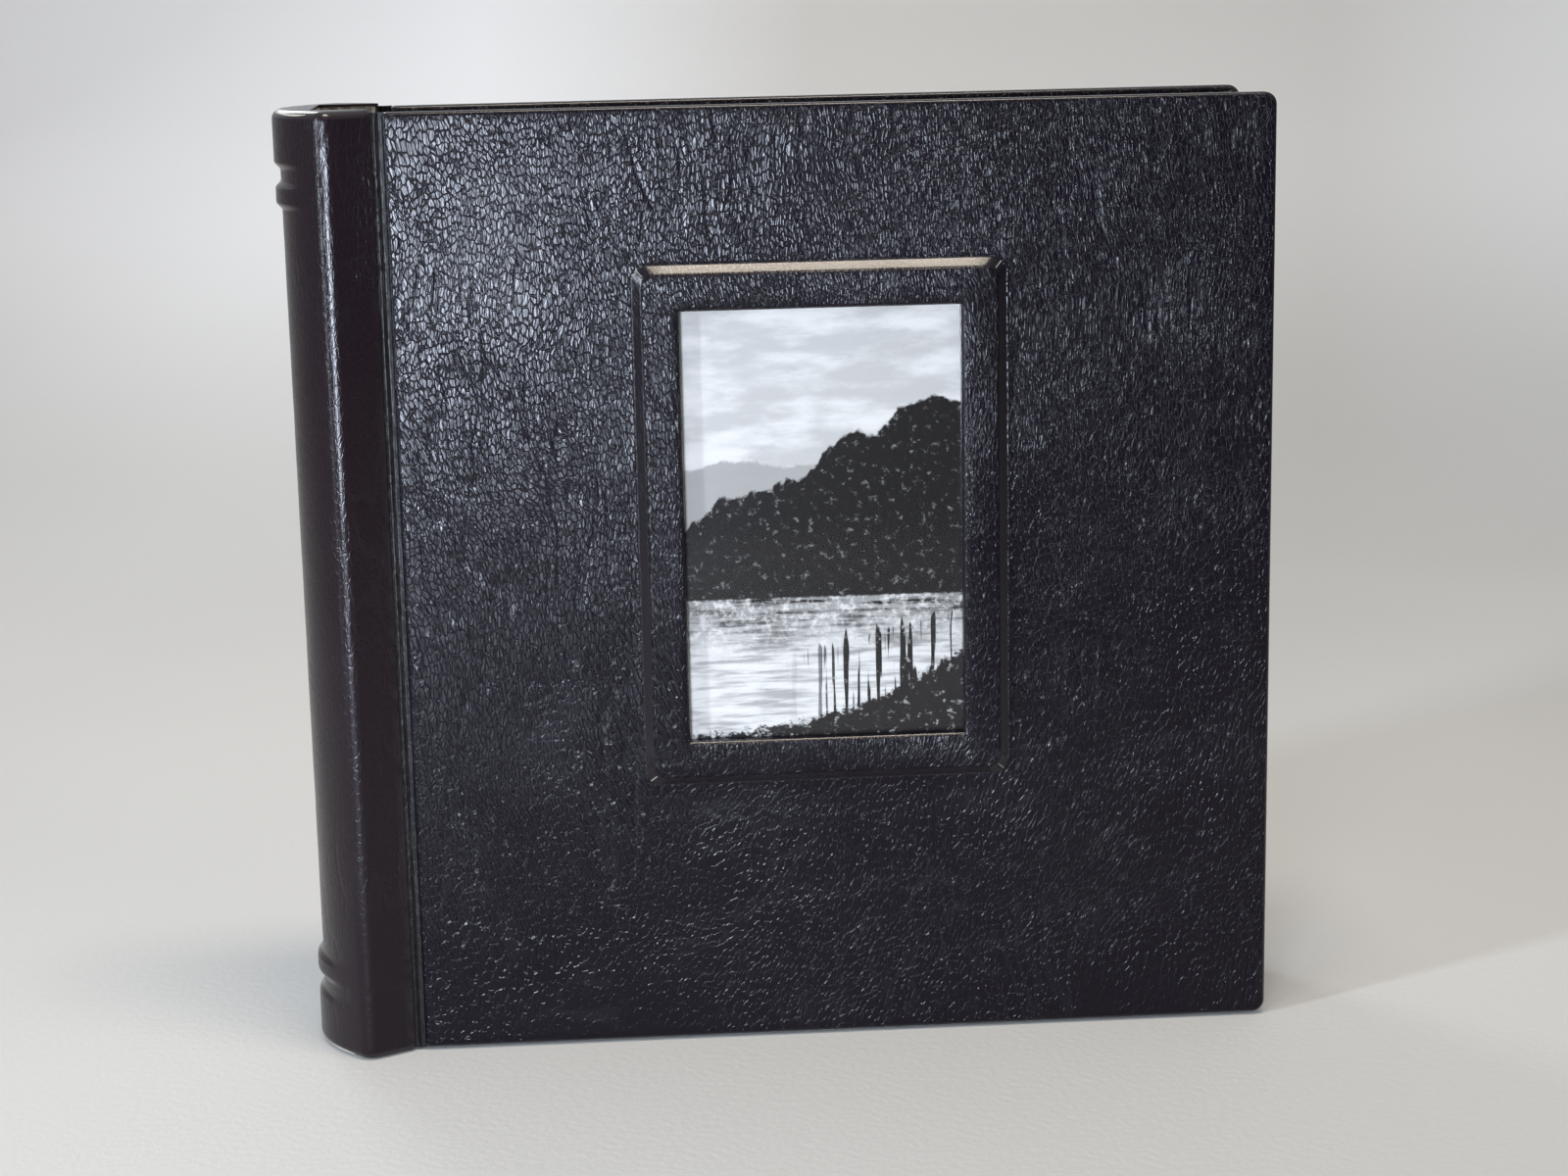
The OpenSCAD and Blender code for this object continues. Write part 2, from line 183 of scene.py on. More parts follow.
class Editing:
    """Edit mode on one object, with selection by place or by normal."""

    def __init__(self, obj, mode="FACE"):
        self.obj, self.mode = obj, mode

    def __enter__(self):
        deselect()
        self.obj.select_set(True)
        bpy.context.view_layer.objects.active = self.obj
        bpy.ops.object.mode_set(mode="EDIT")
        bpy.ops.mesh.select_mode(type=self.mode)
        bpy.ops.mesh.select_all(action="DESELECT")
        return self

    def __exit__(self, kind, value, trace):
        bpy.ops.object.mode_set(mode="OBJECT")
        self.obj.select_set(False)
        return False

    def pick(self, test, what="faces"):
        """Selects the faces, edges or vertices that pass a test, and nothing else."""
        bpy.ops.mesh.select_mode(type={"faces": "FACE", "edges": "EDGE", "verts": "VERT"}[what])
        bpy.ops.mesh.select_all(action="DESELECT")
        mesh = bmesh.from_edit_mesh(self.obj.data)
        found = [e for e in getattr(mesh, what) if test(e)]
        for e in found:
            e.select_set(True)
        mesh.select_flush_mode()
        bmesh.update_edit_mesh(self.obj.data)
        if not found:
            raise RuntimeError("nothing to shape on " + self.obj.name)

    def cut(self, point, normal):
        """Cuts every face along a plane."""
        bpy.ops.mesh.select_all(action="SELECT")
        bpy.ops.mesh.bisect(plane_co=point, plane_no=normal)

    def clean(self):
        """Merges doubles and points the faces outwards."""
        bpy.ops.mesh.select_all(action="SELECT")
        bpy.ops.mesh.remove_doubles(threshold=0.002 * MM)
        bpy.ops.mesh.normals_make_consistent(inside=False)


def block(name, low, high):
    """A box between two corners of the album's own frame, with its place in its mesh."""
    deselect()
    a, b = seen(*low), seen(*high)
    bpy.ops.mesh.primitive_cube_add(size=1, location=(a + b) / 2)
    obj = bpy.context.active_object
    obj.scale = b - a
    bpy.ops.object.transform_apply(location=True, rotation=True, scale=True)
    obj.name = obj.data.name = name
    return obj


def loft(name, rings):
    """A closed form through rings of points: a filled circle of vertices is set to the first
    ring and extruded to each ring after it."""
    deselect()
    bpy.ops.mesh.primitive_circle_add(vertices=len(rings[0]), radius=0.01, fill_type="NOTHING")
    obj = bpy.context.active_object
    obj.name = obj.data.name = name
    for v, p in zip(obj.data.vertices, rings[0]):
        v.co = p
    with Editing(obj, "VERT"):
        bpy.ops.mesh.select_all(action="SELECT")
        bpy.ops.mesh.edge_face_add()
        bpy.ops.mesh.select_all(action="SELECT")
        bpy.ops.mesh.select_mode(type="EDGE")
        for ring in rings[1:]:
            bpy.ops.mesh.extrude_region_move()
            mesh = bmesh.from_edit_mesh(obj.data)
            mesh.verts.ensure_lookup_table()
            for v, p in zip(mesh.verts[-len(ring):], ring):
                v.co = p
            bmesh.update_edit_mesh(obj.data)
    return obj


def tidy_mesh(obj, angle):
    """Cleans a mesh and smooths it, except at edges sharper than an angle in degrees."""
    with Editing(obj) as edit:
        edit.clean()
    deselect()
    obj.select_set(True)
    bpy.context.view_layer.objects.active = obj
    bpy.ops.object.shade_smooth_by_angle(angle=math.radians(angle))
    obj.select_set(False)
    return obj


# Materials: values of nodes as Python expressions

class Wire:
    """One socket of a material's nodes. Adding, scaling and comparing it makes Math nodes."""

    def __init__(self, net, socket):
        self.net, self.socket = net, socket

    def math(self, operation, *others, clamp=False):
        """A Math node on this value and others."""
        return self.net.node("ShaderNodeMath", {"operation": operation, "use_clamp": clamp},
                             [self, *others])

    def __add__(self, other):
        return self.math("ADD", other)

    def __sub__(self, other):
        return self.math("SUBTRACT", other)

    def __mul__(self, other):
        return self.math("MULTIPLY", other)

    def __truediv__(self, other):
        return self.math("DIVIDE", other)

    def __pow__(self, other):
        return self.math("POWER", other)

    def __radd__(self, other):
        return self.math("ADD", other)

    def __rmul__(self, other):
        return self.math("MULTIPLY", other)

    def __rsub__(self, other):
        return self.net.node("ShaderNodeMath", {"operation": "SUBTRACT"}, [other, self])

    def __rtruediv__(self, other):
        return self.net.node("ShaderNodeMath", {"operation": "DIVIDE"}, [other, self])

    def __rpow__(self, other):
        return self.net.node("ShaderNodeMath", {"operation": "POWER"}, [other, self])

    def __abs__(self):
        return self.math("ABSOLUTE")

    def clamp(self):
        """The value, held between 0 and 1."""
        return self.math("ADD", 0.0, clamp=True)

    def above(self, edge, width):
        """0 below edge, 1 above edge + width, smooth between."""
        return self.net.node("ShaderNodeMapRange", {"interpolation_type": "SMOOTHSTEP"},
                             {"Value": self, "From Min": edge, "From Max": edge + width})


class Net:
    """The nodes of a material, or of the world, under construction."""

    def __init__(self, name=None, owner=None, shader="Principled BSDF"):
        self.owner = owner or bpy.data.materials.new(name)
        self.owner.use_nodes = True
        self.tree = self.owner.node_tree
        self.shader = self.tree.nodes[shader]

    def node(self, kind, settings=None, values=(), out=0):
        """Adds a node of a type with its settings, and the values or links of its sockets."""
        made = self.tree.nodes.new(kind)
        for key, value in (settings or {}).items():
            setattr(made, key, value)
        pairs = values.items() if isinstance(values, dict) else enumerate(values)
        for key, value in pairs:
            self.set(made.inputs[key], value)
        return Wire(self, made.outputs[out])

    def set(self, socket, value):
        """Links a wire to a socket, or sets the socket's own value."""
        if isinstance(value, Wire):
            self.tree.links.new(value.socket, socket)
        elif hasattr(socket.default_value, "__len__") and len(socket.default_value) == 4:
            socket.default_value = (*value, 1.0) if len(value) == 3 else value
        else:
            socket.default_value = value

    def place(self, scale=(1, 1, 1), turn=(0, 0, 0)):
        """The place on the piece, in metres, scaled and turned."""
        where = self.node("ShaderNodeTexCoord", out="Object")
        return self.node("ShaderNodeMapping", None,
                         {"Vector": where, "Scale": scale, "Rotation": turn})

    def xyz(self, vector):
        """A vector's three parts."""
        split = self.node("ShaderNodeSeparateXYZ", None, [vector])
        outs = split.socket.node.outputs
        return Wire(self, outs[0]), Wire(self, outs[1]), Wire(self, outs[2])

    def vector(self, x, y, z):
        """A vector of three parts."""
        return self.node("ShaderNodeCombineXYZ", None, [x, y, z])

    def vmath(self, operation, *values):
        """A Vector Math node on some values."""
        return self.node("ShaderNodeVectorMath", {"operation": operation}, values)

    def scaled(self, vector, size):
        """A vector times a number."""
        return self.node("ShaderNodeVectorMath", {"operation": "SCALE"},
                         {"Vector": vector, "Scale": size})

    def noise(self, vector, size, detail=3.0, rough=0.5, out="Fac"):
        """Noise with features of about a size in metres."""
        return self.node("ShaderNodeTexNoise", None,
                         {"Vector": vector, "Scale": 1.0 / size, "Detail": detail,
                          "Roughness": rough}, out)

    def cells(self, vector, count, uneven):
        """Distance to the edges of cells, about a count of them to the metre."""
        return self.node("ShaderNodeTexVoronoi", {"feature": "DISTANCE_TO_EDGE"},
                         {"Vector": vector, "Scale": count, "Randomness": uneven})

    def wrinkles(self, vector, size, rough, width):
        """0 along wandering lines, 1 between them."""
        return abs(self.noise(vector, size, 2.0, rough) - 0.5).above(0.0, width)

    def bent(self, vector, size, amount):
        """A vector pushed about by noise, by an amount in metres."""
        push = self.vmath("SUBTRACT", self.noise(vector, size, 1.0, out="Color"),
                          (0.5, 0.5, 0.5))
        return self.vmath("ADD", vector, self.scaled(push, amount * 2))

    def mix(self, share, a, b):
        """Mixes two colours."""
        return self.node("ShaderNodeMix", {"data_type": "RGBA"}, {0: share, 6: a, 7: b}, out=2)

    def bump(self, height, strength, distance):
        """A normal from heights in units of a distance in metres."""
        return self.node("ShaderNodeBump", None,
                         {"Height": height, "Strength": strength, "Distance": distance})

    def finish(self, **sockets):
        """Feeds the shader's sockets, whose names have underscores for spaces here."""
        for key, value in sockets.items():
            self.set(self.shader.inputs[key.replace("_", " ")], value)
        return self.owner


def leather(name, tops, crease_sheen_colour, grain, depth=0.22, gloss=0.23, lean=0.0, wrinkle=0.15,
            calm=0.36, shine=0.22):
    """Grained leather: pebbled cells that are longer upwards, finer cells on them and long
    wrinkles. The grain lies flatter in some areas, towards the foot, and where a piece's
    attribute says that the leather is drawn over an edge. The creases and wrinkles take a paler
    colour than the tops: painted sheen. The grain is in millimetres."""
    net = Net(name)
    drawn = net.node("ShaderNodeAttribute", {"attribute_name": "drawn"}, out="Fac")
    _, _, height_up = net.xyz(net.place())
    lively = (1.0 - drawn * 0.88) * (0.45 + 0.55 * height_up.above(0.005, 0.075))

    # The cells' edges wander: slowly over the hide, and from one cell to the next
    where = net.place(turn=(0, lean, 0))
    slow = net.bent(where, 0.075, 0.014)
    local = net.bent(net.bent(slow, 0.011, 0.0013), 0.0028, 0.00045)
    per_metre = 1000.0 / grain
    coarse = net.cells(net.vmath("MULTIPLY", local, (1.25, 1.0, 0.50)), per_metre, 0.85)
    pebble = coarse.above(0.0, 0.06 + net.noise(where, 0.007, 1.0) * 0.12)
    fine = net.cells(net.vmath("MULTIPLY", local, (1.9, 1.0, 0.21)), per_metre, 1.0)
    fine = fine.above(0.0, 0.22)
    presence = net.noise(where, 0.055, 2.0).above(calm, 0.22)

    # Wrinkles that run upwards in some areas and across in others
    along = net.vmath("MULTIPLY", slow, (1.0, 1.0, 0.22))
    across = net.vmath("MULTIPLY", net.bent(where, 0.05, 0.02), (0.45, 1.0, 1.0))
    area = net.noise(where, 0.06, 1.0)
    upward = 1.0 - (1.0 - net.wrinkles(along, 0.0120, 0.55, 0.055)) * area.above(0.52, 0.10)
    crossed = 1.0 - ((1.0 - net.wrinkles(across, 0.016, 0.6, 0.045))
                     * (1.0 - area.above(0.34, 0.10)))

    # Height in millimetres, and the lines between the cells, which are duller and painted paler:
    # painted sheen in the creases
    pores = net.noise(where, 0.00035, 2.0)
    height = ((pebble * (0.40 + 0.60 * presence) * depth + fine * (0.14 * depth)
               + upward * wrinkle + crossed * (0.4 * wrinkle)) * lively + pores * 0.01
              + net.noise(where, 0.014, 2.0) * 0.07)
    line = (1.0 - pebble) * (0.25 + 0.75 * presence) * lively
    tone = net.noise(where, 0.09, 3.0, 0.6)
    # Painted sheen: the creases and the wrinkles' lines get the paler crease colour
    crease_sheen_mask = (line * 0.45 + (2.0 - upward - crossed) * 0.35).clamp()
    colour = net.mix(crease_sheen_mask, tops, crease_sheen_colour)
    colour = net.mix(tone.above(0.45, 0.3) * 0.35, colour, [c * 1.3 for c in tops])
    rough = gloss + line * 0.16 + tone * 0.10 - 0.05
    return net.finish(Base_Color=colour, Roughness=rough, Specular_IOR_Level=shine,
                      Coat_Weight=drawn * 0.45, Coat_Roughness=0.22,
                      Normal=net.bump(height, 1.0, MM))


def mark_drawn(obj, share):
    """Writes at each vertex how far the leather is drawn over an edge there."""
    marks = obj.data.attributes.new("drawn", "FLOAT", "POINT")
    for vertex, mark in zip(obj.data.vertices, marks.data):
        mark.value = smooth(share(vertex.normal))
    return obj


def paper(name, colour, fleck, fibre=0.6, rough=0.85, depth=0.02, alpha=1.0):
    """Paper or card: long fibres, a soft mottle and a faint tooth."""
    net = Net(name)
    where = net.place()
    fibres = net.noise(net.vmath("MULTIPLY", where, (1.0, 1.0, 0.25)), fibre * MM, 4.0, 0.65)
    mottle = net.noise(where, 0.02, 3.0)
    shade = net.mix((fibres.above(0.45, 0.3) * 0.5 + mottle * 0.3).clamp(), colour, fleck)
    settings = {"Alpha": alpha} if alpha < 1 else {}
    return net.finish(Base_Color=shade, Roughness=rough + mottle * 0.1,
                      Normal=net.bump(fibres * depth, 0.8, MM), **settings)


def layered_board(name, colour, dark):
    """Board whose thin layers show on its edges."""
    net = Net(name)
    where = net.place(scale=(0.3, 6.0, 0.3))
    layers = net.noise(where, 0.0022, 4.0, 0.6)
    specks = net.noise(net.place(), 0.0012, 3.0)
    shade = net.mix((layers * 0.6 + specks.above(0.55, 0.2) * 0.4).clamp(), colour, dark)
    return net.finish(Base_Color=shade, Roughness=0.9 - specks * 0.1,
                      Normal=net.bump(layers * 0.05, 0.7, MM))


def cloth(name, colour, dark, thread=0.5):
    """Plain woven cloth."""
    net = Net(name)
    x, y, z = net.xyz(net.place(scale=(1000 / thread,) * 3))
    over = (x + y).math("SINE") * z.math("SINE")
    weave = over.above(-0.6, 1.2)
    fuzz = net.noise(net.place(), 0.0006, 2.0)
    return net.finish(Base_Color=net.mix((1.0 - weave) * 0.6 + fuzz * 0.2, colour, dark),
                      Roughness=0.9 - weave * 0.08, Normal=net.bump(weave * 0.06, 0.8, MM))


def marbled_endpaper(name, colour, veins, clouds):
    """End paper with a fine crushed-leather pattern: thin veins over soft clouds."""
    net = Net(name)
    where = net.bent(net.place(), 0.006, 0.0012)
    vein = net.cells(where, 420.0, 1.0).above(0.0, 0.12)
    cloud = net.noise(where, 0.025, 4.0, 0.6)
    shade = net.mix(cloud.above(0.4, 0.25), colour, clouds)
    shade = net.mix((1.0 - vein) * 0.7, shade, veins)
    return net.finish(Base_Color=shade, Roughness=0.55 + cloud * 0.2,
                      Normal=net.bump(vein * 0.05, 0.8, MM))


def clear_sheet(name):
    """Thin clear sheet: only its gloss shows, as a faint mirror."""
    net = Net(name)
    smudge = net.noise(net.place(), 0.03, 3.0)
    slant = net.node("ShaderNodeLayerWeight", None, {"Blend": 0.5}, "Facing")
    return net.finish(Base_Color=(0.93, 0.95, 0.96), Metallic=1.0,
                      Roughness=0.05 + smudge * 0.06, Alpha=0.012 + slant ** 4.0 * 0.8)


def lake_print(name):
    """Black and white print of hills over a lake with reeds, on semi-gloss paper."""
    net = Net(name)
    shore_v = 0.335
    low, high = GLAZING_BOX
    x, _, z = net.xyz(net.place())
    u = (x - low.x * MM) / ((high.x - low.x) * MM)
    v = (z - low.z * MM) / ((high.z - low.z) * MM)
    flat = net.vector(u, v * 1.5, 0.0)
    line = net.vector(u, 0.0, 0.0)
    grainy = net.noise(flat, 0.004, 2.0, 0.7)
    rough = net.noise(flat, 0.03, 5.0, 0.75)
    cloud = net.noise(net.vmath("MULTIPLY", flat, (0.8, 2.4, 1.0)), 0.30, 5.0, 0.6)
    sky = 0.66 + cloud.above(0.42, 0.22) * 0.26

    def below(edge, width):
        """1 where a value is less than 0, and 0 where it is more than a width."""
        return 1.0 - edge.above(0.0, width)

    def crest(level, swell, size, seed):
        """1 below a ragged line of hills."""
        shape = net.noise(net.vmath("ADD", line, (seed, seed, 0.0)), size, 4.0, 0.5)
        return below(v - level - (shape - 0.5) * swell + (rough - 0.5) * 0.03, 0.008)

    # Hills, lake and shore
    far = crest(0.62, 0.16, 0.45, 3.1)
    near = crest(0.47 + u * 0.30, 0.34, 0.30, 7.7)
    shore = below(v - shore_v + (rough - 0.5) * 0.012, 0.006)
    ripple = net.noise(net.vmath("MULTIPLY", flat, (1.0, 9.0, 1.0)), 0.22, 4.0, 0.6)
    water = 0.74 + ripple.above(0.45, 0.12) * 0.20 - (1.0 - ripple.above(0.38, 0.1)) * 0.22
    from_shore = (shore_v - v).above(0.0, 0.16)
    water = water - (1.0 - from_shore) * rough.above(0.35, 0.2) * 0.55
    woods = rough.above(0.56, 0.10) * 0.22 + 0.01
    tone = sky * (1.0 - far) + (0.42 + cloud * 0.12) * far
    tone = tone * (1.0 - near) + woods * near
    tone = tone * (1.0 - shore) + water * shore

    # The near bank with its reeds, and the print's own grain
    bank = below(v - 0.03 - (u ** 2.5) * 0.20 + (rough - 0.5) * 0.09, 0.012)
    stalk = net.noise(net.vmath("MULTIPLY", flat, (26.0, 1.1, 1.0)), 0.55, 2.0)
    tall = below(v - 0.10 - u * 0.17 - (stalk - 0.4) * 0.22, 0.01) * u.above(0.35, 0.2)
    reeds = stalk.above(0.53, 0.03) * tall
    dark = (bank + reeds).clamp()
    tone = tone * (1.0 - dark) + (rough.above(0.57, 0.06) * 0.40 + 0.015) * dark
    tone = (tone + (grainy - 0.5) * (tone * 0.2 + 0.01)).clamp()
    return net.finish(Base_Color=net.mix(tone, PRINT_BLACK, PRINT_WHITE),
                      Roughness=0.28 + grainy * 0.06, Specular_IOR_Level=0.08)


def studio_paper(name, colour, wall_painted_light):
    """Pale background paper with a very faint tooth and uneven tone, and painted light: its colour
    turns lighter up the wall.
    """
    net = Net(name)
    where = net.place()
    tooth = net.noise(where, 0.003, 3.0)
    cloud = net.noise(where, 0.5, 2.0)
    _, _, up = net.xyz(where)
    # Painted light: the backdrop's colour turns lighter up the wall
    shade = net.mix(up.above(0.005, 0.22), colour, wall_painted_light)
    shade = net.mix(cloud.above(0.35, 0.3) * 0.045, shade, (0.0, 0.0, 0.0))
    return net.finish(Base_Color=shade, Roughness=0.9, Specular_IOR_Level=0.2,
                      Normal=net.bump(tooth * 0.25, 0.5, MM))


def dress(obj, material):
    """Gives a piece of the scene a material."""
    obj.data.materials.clear()
    obj.data.materials.append(material)
    return obj


def dress_node(material, *names):
    """Gives CAD nodes a material."""
    for name in names:
        obj = frame["nodes"][name]
        if not obj.data.materials:
            obj.data.materials.append(material)
        for i in range(len(obj.material_slots)):
            obj.material_slots[i].link = "OBJECT"
            obj.material_slots[i].material = material


# The spine's section

def spine_outline():
    """Points of the spine's outer section with their outward normals and the share of a
    band's rise that each carries, from the front groove round the back to the rear one."""
    depth = BAND_DEPTH - BAND_RISE
    centre = Vector((-SHOULDER_X, SHOULDER_R - SHOULDER_RISE))

    # The back's arc: it touches the deepest point and runs into both shoulders
    half = ALBUM_T / 2 - centre.y
    k = depth - SHOULDER_R
    x = (SHOULDER_X ** 2 + half ** 2 - k ** 2) / (2 * (k - SHOULDER_X))
    radius = depth + x
    middle = Vector((x, ALBUM_T / 2))
    meeting = (centre - middle).normalized()

    # The sloping side, from the groove to the shoulder
    groove_edge = Vector((-GROOVE, -0.3))
    reach = groove_edge - centre
    flank = math.atan2(reach.y, reach.x) + math.asin(SHOULDER_R / reach.length)
    normal = Vector((math.sin(flank), -math.cos(flank)))
    start = centre + normal * SHOULDER_R
    points = []
    for i in range(FLANK_STEPS):
        points.append((groove_edge.lerp(start, i / FLANK_STEPS), normal, 0.0))

    # Round the shoulder, and round the back to its middle; the rear half is mirrored
    begin, end = math.atan2(normal.y, normal.x), math.atan2(meeting.y, meeting.x)
    if end > begin:
        end -= 2 * math.pi
    for i in range(SHOULDER_STEPS):
        a = begin + (end - begin) * i / SHOULDER_STEPS
        n = Vector((math.cos(a), math.sin(a)))
        points.append((centre + n * SHOULDER_R, n, 0.0))

    a0, a1 = math.atan2(meeting.y, meeting.x), -math.pi
    for i in range(BACK_STEPS + 1):
        a = a0 + (a1 - a0) * i / BACK_STEPS
        n = Vector((math.cos(a), math.sin(a)))
        away = abs(a - a1) / abs(a0 - a1)
        points.append((middle + n * radius, n, 1.0 - smooth((away - 0.1) / 0.86)))
    for p, n, band in reversed(points[:-1]):
        points.append((Vector((p.x, ALBUM_T - p.y)), Vector((n.x, -n.y)), band))
    return points


def band_height(z):
    """How much of a band's rise stands at a height. The edges are softer at the tail."""
    best = 0.0
    for a, b in BANDS:
        early, soft, full = (0.7, 3.2, 1.0) if b < SPINE_H / 2 else (0.6, 2.7, 0.92)
        up = 1.0 if a <= 0.0 else smooth((z - a + early) / soft)
        down = 1.0 if b >= SPINE_H else smooth((b + early - z) / soft)
        best = max(best, full * up * down)
    return best


def spine_levels():
    """Heights of the rings: close together at the ends and at the bands' edges."""
    end_steps, edge_steps, edge_gap, plain_gap, least_gap = 8, 5, 0.42, 4.0, 0.03
    levels = {0.0, SPINE_H}
    for i in range(1, end_steps + 1):
        rise = END_R * (1 - math.cos(math.pi / 2 * i / end_steps))
        levels |= {rise, SPINE_H - rise}
    for band in BANDS:
        for edge in band:
            levels |= {edge + i * edge_gap for i in range(-edge_steps, edge_steps + 1)}
    z = 6.0
    while z < SPINE_H - 4:
        levels.add(z)
        z += plain_gap
    kept = []
    for z in sorted(v for v in levels if 0 <= v <= SPINE_H):
        if not kept or z - kept[-1] > least_gap:
            kept.append(z)
    return kept


def spine_rings():
    """The section at every height: raised by the bands, drawn in at the rounded ends and a
    little uneven, with the flat sides that lie against the block."""
    outline = spine_outline()
    inner_x = -GROOVE - 19.0
    inner = [(-GROOVE, BLOCK_Y1), (inner_x, BLOCK_Y1), (inner_x, BLOCK_Y0), (-GROOVE, BLOCK_Y0)]
    rings = []
    for z in spine_levels():
        end = min(z, SPINE_H - z)
        drawn_in = 0.0
        if end < END_R:
            drawn_in = END_R - math.sqrt(max(0.0, END_R ** 2 - (END_R - end) ** 2))
        ring = []
        for p, n, band in outline:
            out = band * BAND_RISE * band_height(z) - drawn_in - 0.05
            out += 0.06 * waves(p.x * 3 + p.y * 2, z * 2.2) * (1.0 if end > 5 else 0.3)
            ring.append(seen(p.x + n.x * out, p.y + n.y * out, z))
        rings.append(ring + [seen(x, y, z) for x, y in inner])
    return rings


def on_band_wall(normal):
    """How steeply the spine's leather runs over a band's edge."""
    return (abs(normal.z) - 0.12) / 0.3


def make_spine():
    return mark_drawn(tidy_mesh(loft("spine_cover", spine_rings()), 40), on_band_wall)


# Covers

def window_sides():
    """Left, right, bottom and top of the opening and of the border, in the album's frame."""
    middle = (GLAZING_BOX[0] + GLAZING_BOX[1]) / 2
    cx, cz = middle.x + ORIGIN.x, middle.z
    hole = (cx - WINDOW_W / 2, cx + WINDOW_W / 2, cz - WINDOW_H / 2, cz + WINDOW_H / 2)
    rim = (hole[0] - BORDER_W, hole[1] + BORDER_W, hole[2] - BORDER_W, hole[3] + BORDER_W)
    return hole, rim


def at(v):
    """A vertex's place in the album's own frame, in millimetres."""
    return v.co / MM + ORIGIN


def within(e, sides, front_of=math.inf):
    """Whether a face or an edge lies inside four sides, in front of a depth."""
    spare = 0.1
    return all(sides[0] - spare < p.x < sides[1] + spare
               and sides[2] - spare < p.z < sides[3] + spare
               and p.y < front_of for p in map(at, e.verts))


def run_back(e):
    """How far an edge runs from front to back, in metres."""
    return abs(e.verts[0].co.y - e.verts[1].co.y)


def soft_cover(name):
    """A board wrapped in leather, with rounded corners and edges, as the front one lies."""
    cover = block(name, (0, 0, COVER_Z0), (COVER_W, COVER_T, COVER_Z1))

    def upright(e):
        return run_back(e) > COVER_T * MM * 0.9

    with Editing(cover) as edit:
        edit.pick(lambda e: upright(e) and at(e.verts[0]).x > COVER_W - 1, "edges")
        bpy.ops.mesh.bevel(offset=CORNER_R * MM, segments=8, affect="EDGES")
        edit.pick(lambda e: upright(e) and at(e.verts[0]).x < 1, "edges")
        bpy.ops.mesh.bevel(offset=HINGE_CORNER_R * MM, segments=4, affect="EDGES")
        edit.pick(lambda e: not upright(e) and e.calc_face_angle(0) > 1.0, "edges")
        bpy.ops.mesh.bevel(offset=COVER_EDGE_R * MM, segments=5, affect="EDGES")
    return cover


def cut_sides(edit, sides):
    """Cuts along the left, right, bottom and top sides of a rectangle."""
    for x in sides[:2]:
        edit.cut(seen(x, 0, 0), (1, 0, 0))
    for z in sides[2:]:
        edit.cut(seen(0, 0, z), (0, 0, 1))


def raise_border(cover):
    """The raised border with its sloping sides, and the opening in it."""
    hole, rim = window_sides()
    face_y, top_y = 0.1, -2

    with Editing(cover) as edit:
        cut_sides(edit, rim)
        edit.pick(lambda f: f.normal.y < -0.9 and within(f, rim))
        bpy.ops.mesh.inset(thickness=BORDER_RISE * 0.98 * MM, depth=BORDER_RISE * 0.99 * MM)

        # The slope's four corners, then the level edges at its foot and its top
        edit.pick(lambda e: run_back(e) > BORDER_RISE * 0.9 * MM and within(e, rim, face_y),
                  "edges")
        bpy.ops.mesh.bevel(offset=BORDER_R * MM, segments=8, affect="EDGES")
        edit.pick(lambda e: e.calc_face_angle(0) > 0.5 and run_back(e) < 1e-5
                  and within(e, rim, face_y), "edges")
        bpy.ops.mesh.bevel(offset=BORDER_EDGE_R * MM, segments=3, affect="EDGES")

        # The opening, and the rounding of its edge
        cut_sides(edit, hole)
        edit.pick(lambda f: f.normal.y < -0.9 and within(f, hole, top_y))
        bpy.ops.mesh.inset(thickness=0.02 * MM, depth=-WINDOW_DEPTH * MM)
        edit.pick(lambda e: e.calc_face_angle(0) > 1.0 and within(e, hole, top_y), "edges")
        bpy.ops.mesh.bevel(offset=WINDOW_EDGE_R * MM, segments=4, affect="EDGES")


def grid_cuts(cover):
    """Planes through a cover, so that its leather can be uneven."""
    with Editing(cover) as edit:
        for i in range(int(COVER_W / GRID)):
            edit.cut(seen((i + 0.5) * GRID, 0, 0), (1, 0, 0))
        for i in range(int((COVER_Z1 - COVER_Z0) / GRID)):
            edit.cut(seen(0, 0, COVER_Z0 + (i + 0.5) * GRID), (0, 0, 1))


def settle(cover, sides=None):
    """The leather's front lies a little unevenly over its board: never outside the cover's
    box, and not at all at the edges and round an opening."""
    for v in cover.data.vertices:
        p = at(v)
        if p.y > 1.0:
            continue
        rim = min(p.x, COVER_W - p.x, p.z - COVER_Z0, COVER_Z1 - p.z)
        quiet = smooth((rim - 2.0) / 6.0)
        if sides:
            gap = max(sides[0] - p.x, p.x - sides[1], sides[2] - p.z, p.z - sides[3])
            quiet *= smooth((gap - 1.0) / 4.0)
        v.co.y += LEATHER_SLACK * (0.5 + 0.5 * waves(p.x * 1.4, p.z * 1.2, 0.4)) * quiet * MM


def on_slope(normal):
    """How far a cover's leather leans from the face, on slopes and rounded edges."""
    return (0.97 - abs(normal.y)) / 0.12


def make_front_cover():
    """The cover with the border and the window."""
    cover = soft_cover("front_cover")
    raise_border(cover)
    grid_cuts(cover)
    settle(cover, window_sides()[0])
    return mark_drawn(tidy_mesh(cover, 32), on_slope)


def make_back_cover():
    """The front cover's mirror image without a border, a few degrees open."""
    cover = soft_cover("back_cover")
    grid_cuts(cover)
    settle(cover)
    middle, hinge = seen(0, ALBUM_T / 2, 0), seen(HINGE_X, ALBUM_T, 0)
    mirror = (Matrix.Translation(middle) @ Matrix.Scale(-1, 4, (0, 1, 0))
              @ Matrix.Translation(-middle))
    opened = (Matrix.Translation(hinge) @ Matrix.Rotation(BACK_OPEN, 4, "Z")
              @ Matrix.Translation(-hinge))
    cover.data.transform(opened @ mirror)
    return mark_drawn(tidy_mesh(cover, 32), on_slope)


# Joints and guards

